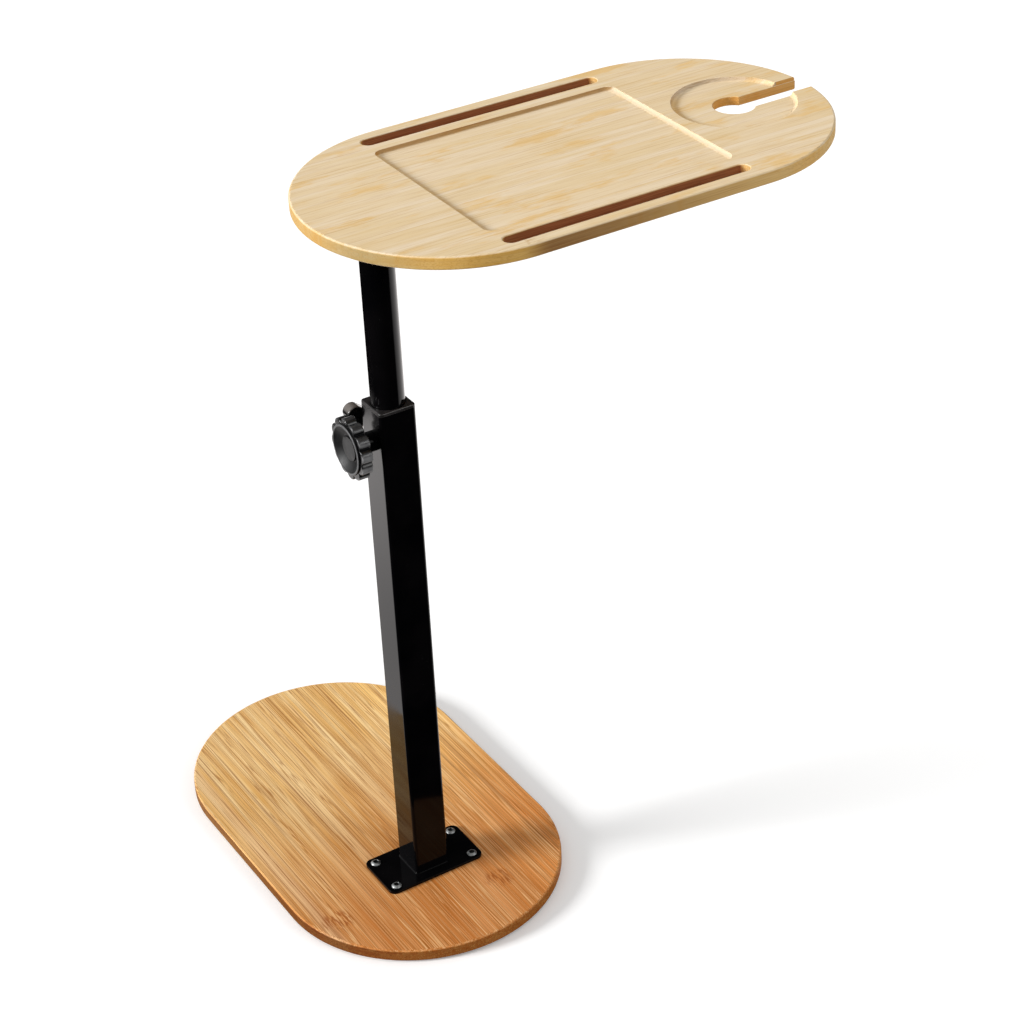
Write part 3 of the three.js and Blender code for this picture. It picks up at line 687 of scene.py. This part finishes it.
def keyhole_layers():
    """Cutter of the keyhole from below the board to above it, its edges eased."""
    edge, reach = KEYHOLE_EDGE, 160
    upper = BOARD_THICKNESS - SEAT_DEPTH
    layers = [(keyhole(reach, edge), -2), (keyhole(reach, edge), 0)]
    for i in range(1, 6):
        a = math.pi / 2 * i / 5
        layers.append((keyhole(reach, edge * (1 - math.sin(a))), edge * (1 - math.cos(a))))
    for i in range(5):
        a = math.pi / 2 * i / 4
        layers.append((keyhole(reach, edge * (1 - math.cos(a))), upper - edge + edge * math.sin(a)))
    layers.append((keyhole(reach, edge), BOARD_THICKNESS + 2))
    return layers


def tabletop():
    board = loft("tabletop_board", eased_layers(
        lambda inset: stadium(TOP_LENGTH - 2 * inset, TOP_WIDTH - 2 * inset, 72),
        0, BOARD_THICKNESS, BOARD_EDGE, 7))
    shift(board, TOP_CENTRE_X)
    tray = shift(loft("tray", seat_layers(lambda inset: rounded(
        TRAY_LENGTH - 2 * inset, TRAY_WIDTH - 2 * inset, TRAY_CORNER - inset, 12))),
        TRAY_CENTRE_X, 0, BOARD_THICKNESS)
    cup = shift(loft("cup", seat_layers(lambda inset: circle(CUP_RADIUS - inset, 160))),
                CUP_X, 0, BOARD_THICKNESS)
    slot = shift(loft("slot", keyhole_layers()), CUP_X)
    grooves = [shift(loft("groove", groove_layers()), GROOVE_X, side * GROOVE_Y, BOARD_THICKNESS)
               for side in (-1, 1)]
    boolean(board, [tray, cup, slot, *grooves, *insert_holes(-1, INSERT_DEPTH)])
    at_mast(smooth(board), TOP_Z)
    return finish(board, pale_bamboo, "mast", "pale_bamboo", "tabletop")


def foot_board():
    board = loft("foot_board_wood", eased_layers(
        lambda inset: stadium(TOP_WIDTH - 2 * inset, FOOT_LENGTH - 2 * inset, 72),
        0, BOARD_THICKNESS, BOARD_EDGE, 7))
    shift(board, 0, FOOT_CENTRE_Y)
    boolean(board, insert_holes(BOARD_THICKNESS - INSERT_DEPTH, BOARD_THICKNESS + 1))
    at_mast(smooth(board), FOOT_Z)
    return finish(board, warm_bamboo, "base", "warm_bamboo", "foot_board")


tabletop()
foot_board()


# ---------------------------------------------------------------- plates, screws and pads

def plate(name, z, body, node):
    slab = loft(name, eased_layers(
        lambda inset: rounded(PLATE_LENGTH - 2 * inset, PLATE_WIDTH - 2 * inset, PLATE_CORNER - inset, 16),
        0, PLATE_THICKNESS, 0.5, 4))
    boolean(slab, [shift(prism("hole", circle(SCREW_HOLE, 32), -1, PLATE_THICKNESS + 1), x * SCREW_X, y * SCREW_Y)
                   for x in (-1, 1) for y in (-1, 1)])
    return finish(at_mast(smooth(slab), z), black_enamel, body, "black_enamel", node)


def screw_mesh(name):
    """Button head screw, its head on z = 0, with a chamfered hexagon socket."""
    head, height, shank, radius = 4.75, 2.6, 10.7, 2.5
    dome = (head ** 2 + (height - 0.4) ** 2) / (2 * (height - 0.4))
    sweep = math.asin(head / dome)
    profile = [(0, -shank), (radius - 0.6, -shank), (radius, -shank + 0.6), (radius, 0), (head, 0), (head, 0.4)]
    for i in range(1, 12):
        a = sweep * (1 - i / 12)
        profile.append((dome * math.sin(a), height - dome * (1 - math.cos(a))))
    profile.append((0, height))
    body = turned(name, profile, 64)
    socket = prism("socket", hexagon(4.2), height - 1.9, height + 1)
    mouth = loft("mouth", [(circle(2.3, 48), height - 0.9), (circle(3.2, 48), height + 0.2)])
    return boolean(body, [socket, mouth])


def screws(prefix, z, out, body):
    for side, x in (("left", -1), ("right", 1)):
        for end, y in (("near", -1), ("far", 1)):
            node = f"{prefix}_screw_{side}_{end}"
            screw = smooth(screw_mesh(node + "_head"), 35)
            turn = Matrix.Rotation(0 if out > 0 else math.pi, 4, "X")
            spin = Matrix.Rotation(math.radians(23 * x + 41 * y), 4, "Z")
            place(screw, Matrix.Translation((x * SCREW_X * MM, y * SCREW_Y * MM, z * MM)) @ turn @ spin)
            finish(at_mast(screw), zinc_steel, body, "zinc_steel", node)


def pads():
    for side, x in (("left", -PAD_X), ("right", PAD_X)):
        for end, y in (("near", FOOT_CENTRE_Y - PAD_Y), ("far", FOOT_CENTRE_Y + PAD_Y)):
            node = f"foot_pad_{side}_{end}"
            profile = [(0, 0), (8.5, 0), (9.2, 0.05)]
            profile += arc(10.4, 0.6, 0.6, -90, 0, 4) + arc(10.6, 1.6, 0.4, 0, 90, 3) + [(0, 2)]
            pad = at_mast(shift(smooth(turned(node + "_disc", profile, 72)), x, y))
            finish(pad, pad_rubber, "base", "pad_rubber", node)


plate("foot_plate_sheet", FOOT_TOP_Z, "base", "foot_plate")
plate("top_plate_sheet", INNER_TOP_Z, "mast", "top_plate")
screws("foot", TUBE_Z, 1, "base")
screws("top", INNER_TOP_Z, -1, "mast")
pads()


# ---------------------------------------------------------------- tubes and bush

def outer_tube():
    def ring(side, corner):
        return rounded(side, side, corner, 12)
    bore, bore_corner = TUBE_SIDE - 2 * TUBE_WALL, TUBE_CORNER - TUBE_WALL
    edge = 0.3
    tube = loft("outer_tube_skin", [
        (ring(TUBE_SIDE, TUBE_CORNER), TUBE_Z),
        (ring(TUBE_SIDE, TUBE_CORNER), TUBE_TOP_Z - edge),
        (ring(TUBE_SIDE - 2 * edge, TUBE_CORNER - edge), TUBE_TOP_Z),
        (ring(bore + edge, bore_corner + edge / 2), TUBE_TOP_Z),
        (ring(bore, bore_corner), TUBE_TOP_Z - edge / 2),
        (ring(bore, bore_corner), TUBE_Z)], closed=True)
    boolean(tube, [
        shift(place(prism("hole", circle(CLAMP_HOLE, 32), 0, 40), Matrix.Rotation(-math.pi / 2, 4, axis)), z=CLAMP_Z)
        for axis in ("Y", "X")])
    return finish(at_mast(smooth(tube)), black_enamel, "base", "black_enamel", "outer_tube")


def tube_bush():
    """Flange with eased edges over a square skirt, bored round."""
    def square(side, corner):
        return subdivided(rounded(side, side, corner, 10), 1.0)
    skirt, skirt_corner = TUBE_SIDE - 2 * TUBE_WALL - 0.5, TUBE_CORNER - TUBE_WALL
    reference = square(TUBE_SIDE, TUBE_CORNER)
    count = len(reference)

    def fitted(side, corner):
        """The same number of points on a square of another size, in the same directions."""
        half, points = side / 2, []
        for px, py in reference:
            a = math.atan2(py, px)
            c, q = math.cos(a), math.sin(a)
            reach = half / max(abs(c), abs(q))
            x, y = reach * c, reach * q
            if min(abs(x), abs(y)) > half - corner:
                cx, cy = math.copysign(half - corner, x), math.copysign(half - corner, y)
                b = c * cx + q * cy
                reach = b + math.sqrt(b * b - (cx * cx + cy * cy - corner * corner))
                x, y = reach * c, reach * q
            points.append((x, y))
        return points

    def bore(radius):
        return [(radius * math.cos(math.atan2(y, x)), radius * math.sin(math.atan2(y, x)))
                for x, y in reference]

    hole, top = INNER_RADIUS + 0.25, BUSH_TOP_Z
    layers = [(bore(hole), TUBE_TOP_Z - 20), (fitted(skirt, skirt_corner), TUBE_TOP_Z - 20),
              (fitted(skirt, skirt_corner), TUBE_TOP_Z), (fitted(TUBE_SIDE, TUBE_CORNER), TUBE_TOP_Z)]
    for i in range(7):
        a = math.pi / 2 * i / 6
        inset = 1 - math.cos(a)
        layers.append((fitted(TUBE_SIDE - 2 * inset, TUBE_CORNER - inset), top - 1 + math.sin(a)))
    layers += [(bore(hole + 0.6), top), (bore(hole + 0.18), top - 0.18), (bore(hole), top - 0.6)]
    bush = loft("tube_bush_collar", layers, closed=True)
    return finish(at_mast(smooth(bush)), bush_plastic, "base", "black_plastic", "tube_bush")


def inner_tube():
    bore = INNER_RADIUS - INNER_WALL
    tube = turned("inner_tube_skin", [
        (bore, INNER_BOTTOM_Z), (INNER_RADIUS - 0.4, INNER_BOTTOM_Z), (INNER_RADIUS, INNER_BOTTOM_Z + 0.4),
        (INNER_RADIUS, INNER_TOP_Z), (bore, INNER_TOP_Z)], 128)
    return finish(at_mast(smooth(tube)), black_enamel, "mast", "black_enamel", "inner_tube")


def weld(name, outline, z, out, body):
    """Bead of weld round a tube where it meets its plate, a run of small overlapping ripples."""
    outline = subdivided(outline, 0.9)
    size = 1.1
    layers = []
    for i in range(7):
        a = math.pi / 2 * i / 6
        spread = []
        for k, point in enumerate(grown(outline, 1.0)):
            ripple = 1 + 0.16 * math.sin(k * 1.9) + 0.07 * math.sin(k * 0.37 + 1)
            reach = size * ripple * (1 - math.sin(a) * 0.96)
            px, py = outline[k]
            spread.append((px + (point[0] - px) * reach, py + (point[1] - py) * reach))
        layers.append((spread, z + out * (0.05 + size * (1 - math.cos(a)) * 0.95)))
    layers.append((grown(outline, -0.6), layers[-1][1]))
    layers.append((grown(outline, -0.6), z + out * 0.05))
    bead = loft(name, layers, closed=True)
    return finish(at_mast(smooth(bead, 60)), black_enamel, body, "black_enamel")


outer_tube()
tube_bush()
inner_tube()
weld("foot_weld", rounded(TUBE_SIDE, TUBE_SIDE, TUBE_CORNER, 6), TUBE_Z, 1, "base")
weld("top_weld", circle(INNER_RADIUS, 96), INNER_TOP_Z, -1, "mast")


# ---------------------------------------------------------------- clamps, built along +Z from the mast axis

FACE_LEFT = Matrix.Translation(MAST + Vector((0, 0, CLAMP_Z * MM))) @ Matrix.Rotation(-math.pi / 2, 4, "Y")
FACE_BACK = Matrix.Translation(MAST + Vector((0, 0, CLAMP_Z * MM))) @ Matrix.Rotation(-math.pi / 2, 4, "X")


def weld_nut(name, facing, node):
    """Boss with a chamfered end on a face of the tube."""
    chamfer = 0.7
    profile = [(BOLT_BORE, NUT_START), (NUT_RADIUS, NUT_START), (NUT_RADIUS, NUT_END - chamfer),
               (NUT_RADIUS - chamfer, NUT_END), (BOLT_BORE + chamfer, NUT_END), (BOLT_BORE, NUT_END - chamfer)]
    nut = smooth(turned(name, profile, 96), 30)
    return finish(place(nut, facing), black_enamel, "base", "black_enamel", node)


def lobed(inset, count):
    """Round lobes that meet in narrow valleys."""
    pitch, centre = 2 * math.pi / LOBES, KNOB_RADIUS - LOBE_RADIUS
    points = []
    for i in range(count):
        angle = 2 * math.pi * i / count
        off = angle - pitch * round(angle / pitch)
        rise = math.sqrt(max(0.0, (LOBE_RADIUS - inset) ** 2 - (centre * math.sin(off)) ** 2))
        radius = centre * math.cos(off) + rise
        turn = angle + math.radians(KNOB_TURN)
        points.append((radius * math.cos(turn), radius * math.sin(turn)))
    return points


def knob():
    """Star knob: neck, lobed rim, raised lip and a conical dish that holds the cap."""
    count, turn = LOBES * 32, math.radians(KNOB_TURN)

    def ring(radius, z):
        angles = [2 * math.pi * i / count + turn for i in range(count)]
        return [(radius * math.cos(a), radius * math.sin(a)) for a in angles], z

    layers = [ring(BOLT_BORE, GRIP_START), ring(10.4, GRIP_START), ring(11, 26.2), ring(11, 28.6)]
    layers += [ring(r, z) for r, z in arc(14.1, 28.6, 3.1, 180, 90, 5)[1:]]
    layers += eased_layers(lambda inset: lobed(inset, count), 31.8, 42.3, 1.2, 5)
    lip, lip_top, floor_z = 23, 44.1, 39.5
    layers += [ring(lip, 42.3)]
    layers += [ring(r, z) for r, z in arc(lip - 0.8, lip_top - 0.8, 0.8, 0, 90, 5)]
    layers += [ring(r, z) for r, z in arc(20.9, lip_top - 0.6, 0.6, 90, 150, 4)]
    layers += [ring(19.2, 43.0), ring(16, 41.1), ring(13.2, 39.6), ring(12.4, floor_z)]
    layers += [ring(11.7, floor_z), ring(11.6, floor_z - 0.1), ring(11.6, 38.5), ring(7.9, 38.5),
               ring(7.9, 32.6), ring(BOLT_BORE, 32.6)]
    grip = smooth(loft("left_knob_star", layers, closed=True), 40)
    return finish(place(grip, FACE_LEFT), knob_sheen_plastic, "left_knob", "black_plastic", "left_knob")


def knob_cap():
    profile = [(0, 38.8), (11, 38.8), (11.3, 39.1)] + arc(10.7, 40.2, 0.6, 0, 75, 5)
    profile += [(r, 41 - 0.0016 * r * r) for r in (10, 8, 6, 4, 2)] + [(0, 41)]
    cap = smooth(turned("left_knob_cap_disc", profile, 96))
    return finish(place(cap, FACE_LEFT), knob_sheen_plastic, "left_knob", "black_plastic", "left_knob_cap")


def wing_outline(count):
    """Bar with round ends that swells into a round hub."""
    half, radius, sharp = WING_SPAN / 2, WING_WIDTH / 2, 9.0
    points = []
    for i in range(count):
        a = 2 * math.pi * i / count
        c, q = abs(math.cos(a)), abs(math.sin(a))
        centre = half - radius
        straight = radius / max(q, 1e-9)
        if straight * c > centre:
            b = c * centre
            straight = b + math.sqrt(b * b - centre * centre + radius * radius)
        reach = (straight ** sharp + WING_HUB ** sharp) ** (1 / sharp)
        reach = min(reach, half)
        points.append((reach * math.cos(a), reach * math.sin(a)))
    return points


def wing_grip():
    """Grip of the wing screw, with a blind bore for its stud."""
    count, high, edge, bore_end = 360, 37.2, 1.5, 34.2
    bar = wing_outline(count)
    layers = [(circle(BOLT_BORE, count), GRIP_START)]
    layers += eased_layers(lambda inset: grown(bar, -inset), GRIP_START, high, edge, 6)
    layers += [(circle(0.4, count), high), (circle(0.3, count), high - 0.2),
               (circle(0.3, count), bore_end), (circle(BOLT_BORE, count), bore_end)]
    grip = loft("back_wing_bar", layers, closed=True)
    place(grip, Matrix.Rotation(math.radians(WING_TURN), 4, "Z"))
    return finish(place(smooth(grip, 40), FACE_BACK), wing_plastic, "back_screw", "black_plastic", "back_wing_grip")


weld_nut("left_weld_boss", FACE_LEFT, "left_weld_nut")
weld_nut("back_weld_boss", FACE_BACK, "back_weld_nut")
knob()
knob_cap()
wing_grip()

# Finishes of the CAD nodes that stay
kept = {
    "left_clamp_bolt": zinc_steel, "back_wing_stud": zinc_steel, "lower_guide": black_plastic,
    "left_pressure_tip": white_nylon, "back_pressure_tip": white_nylon,
}
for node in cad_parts:
    if "_insert_" in node:
        kept[node] = brass
for node, material in kept.items():
    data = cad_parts[node].data
    data.materials.clear()
    data.materials.append(material)


# ---------------------------------------------------------------- floor, light and camera

WHITE = (1, 1, 1, 1)
FLOOR_SEEN, FLOOR_BOUNCE = (0.97, 0.97, 0.97, 1), (0.38, 0.38, 0.38, 1)
FLOOR_SIZE, FLOOR_GLOW = 9000, 0.12
FRONT = (-0.5925, -0.8056)
WORLD_LIGHT = 0.55
KEY_TOWARD, KEY_STRENGTH, KEY_ANGLE = (-0.9, 0.27, 0.34), 3.9, 18
FILL_TOWARD, FILL_STRENGTH, FILL_ANGLE = (0.43, -0.78, 0.45), 0.5, 22
LEFT_PANEL, TOP_PANEL = (-0.85, 0.35, 0.4), (0.38, -0.6, 0.7)
CAMERA_AT = (-1.028126, -1.807708, 1.603617)
CAMERA_RIGHT, CAMERA_UP = (0.830878, -0.556044, -0.021346), (0.302883, 0.419744, 0.855614)
CAMERA_BACK = (-0.466799, -0.717383, 0.517169)


def floor_material():
    """Pale matt floor. Mirrors see it bright at the sides and behind, and dark in front of the object."""
    s = Shader(bpy.data.materials.new("floor_white"))
    path = s.node("ShaderNodeLightPath").outputs
    seen = s.math("MAXIMUM", path["Is Camera Ray"], path["Is Transmission Ray"])
    diffuse = s.node("ShaderNodeBsdfDiffuse", {"Color": s.mix(seen, FLOOR_BOUNCE, FLOOR_SEEN)})
    lift = s.node("ShaderNodeEmission", {"Color": WHITE, "Strength": s.times(seen, FLOOR_GLOW)})
    plain = s.node("ShaderNodeAddShader", {0: diffuse.outputs[0], 1: lift.outputs[0]})
    x, y, z = s.split(s.coords.outputs["Object"])
    x, y = s.minus(x, MAST.x), s.minus(y, MAST.y)
    far = s.length(x, y)
    ahead = s.math("ADD", s.times(x, FRONT[0]), s.times(y, FRONT[1]))
    facing = s.math("DIVIDE", ahead, s.math("MAXIMUM", far, 0.01))
    ends = s.math("MAXIMUM", s.between(far, 0.88, 0.94, 1.0, 0.0), s.between(x, 0.1, 0.4))
    shown = s.times(s.between(facing, -0.02, 0.2, 1.0, 0.0), s.between(far, 0.35, 0.95, 0.9, 1.9), ends)
    glow = s.node("ShaderNodeEmission", {"Color": (1.0, 0.96, 0.95, 1), "Strength": shown})
    both = s.node("ShaderNodeMixShader", {0: path["Is Glossy Ray"], 1: plain.outputs[0], 2: glow.outputs[0]})
    s.node("ShaderNodeOutputMaterial", {0: both.outputs[0]})
    return s.owner


floor = prism("floor", stadium(FLOOR_SIZE, FLOOR_SIZE, 24), -3, 0)
floor.data.materials.append(floor_material())


def soft_sun(name, toward, strength, degrees):
    """Soft lamp so far away that it lights the floor evenly."""
    data = bpy.data.lights.new(name, "SUN")
    data.energy, data.angle = strength, math.radians(degrees)
    light = bpy.data.objects.new(name, data)
    light.location = Vector(toward) * 3
    light.rotation_mode = "QUATERNION"
    light.rotation_quaternion = (-Vector(toward)).to_track_quat("-Z", "Y")
    bpy.context.scene.collection.objects.link(light)


soft_sun("key", KEY_TOWARD, KEY_STRENGTH, KEY_ANGLE)
soft_sun("fill", FILL_TOWARD, FILL_STRENGTH, FILL_ANGLE)

# Studio: white to the camera, an even light on the object, and two soft panels in its mirrors
world = bpy.data.worlds.new("studio")
bpy.context.scene.world = world
s = Shader(world)
path = s.node("ShaderNodeLightPath").outputs
seen = s.math("MAXIMUM", path["Is Camera Ray"], path["Is Transmission Ray"])
left_panel, top_panel = (
    s.node("ShaderNodeVectorMath", {0: s.coords.outputs["Generated"], 1: panel},
           operation="DOT_PRODUCT").outputs["Value"] for panel in (LEFT_PANEL, TOP_PANEL))
mirrored = s.math("MAXIMUM", s.between(left_panel, 0.2, 0.8, 0.02, 1.0), s.between(top_panel, 0.72, 0.95, 0.0, 1.0))
strength = s.node("ShaderNodeMix", {0: path["Is Glossy Ray"], 2: WORLD_LIGHT, 3: mirrored}, data_type="FLOAT")
strength = s.node("ShaderNodeMix", {0: seen, 2: strength.outputs[0], 3: 1.0}, data_type="FLOAT")
sky = s.node("ShaderNodeBackground", {"Color": WHITE, "Strength": strength.outputs[0]})
s.node("ShaderNodeOutputWorld", {0: sky.outputs[0]})

camera_data = bpy.data.cameras.new("camera")
camera = bpy.data.objects.new("camera", camera_data)
bpy.context.scene.collection.objects.link(camera)
turned_to = Matrix((CAMERA_RIGHT, CAMERA_UP, CAMERA_BACK)).transposed().to_4x4()
camera.matrix_world = Matrix.Translation(CAMERA_AT) @ turned_to
camera_data.sensor_width = 36
camera_data.lens = 90.91
camera_data.shift_x = -0.11
camera_data.shift_y = -0.045
camera_data.clip_start, camera_data.clip_end = 0.05, 60
bpy.context.scene.camera = camera
bpy.context.scene.view_settings.view_transform = "Standard"
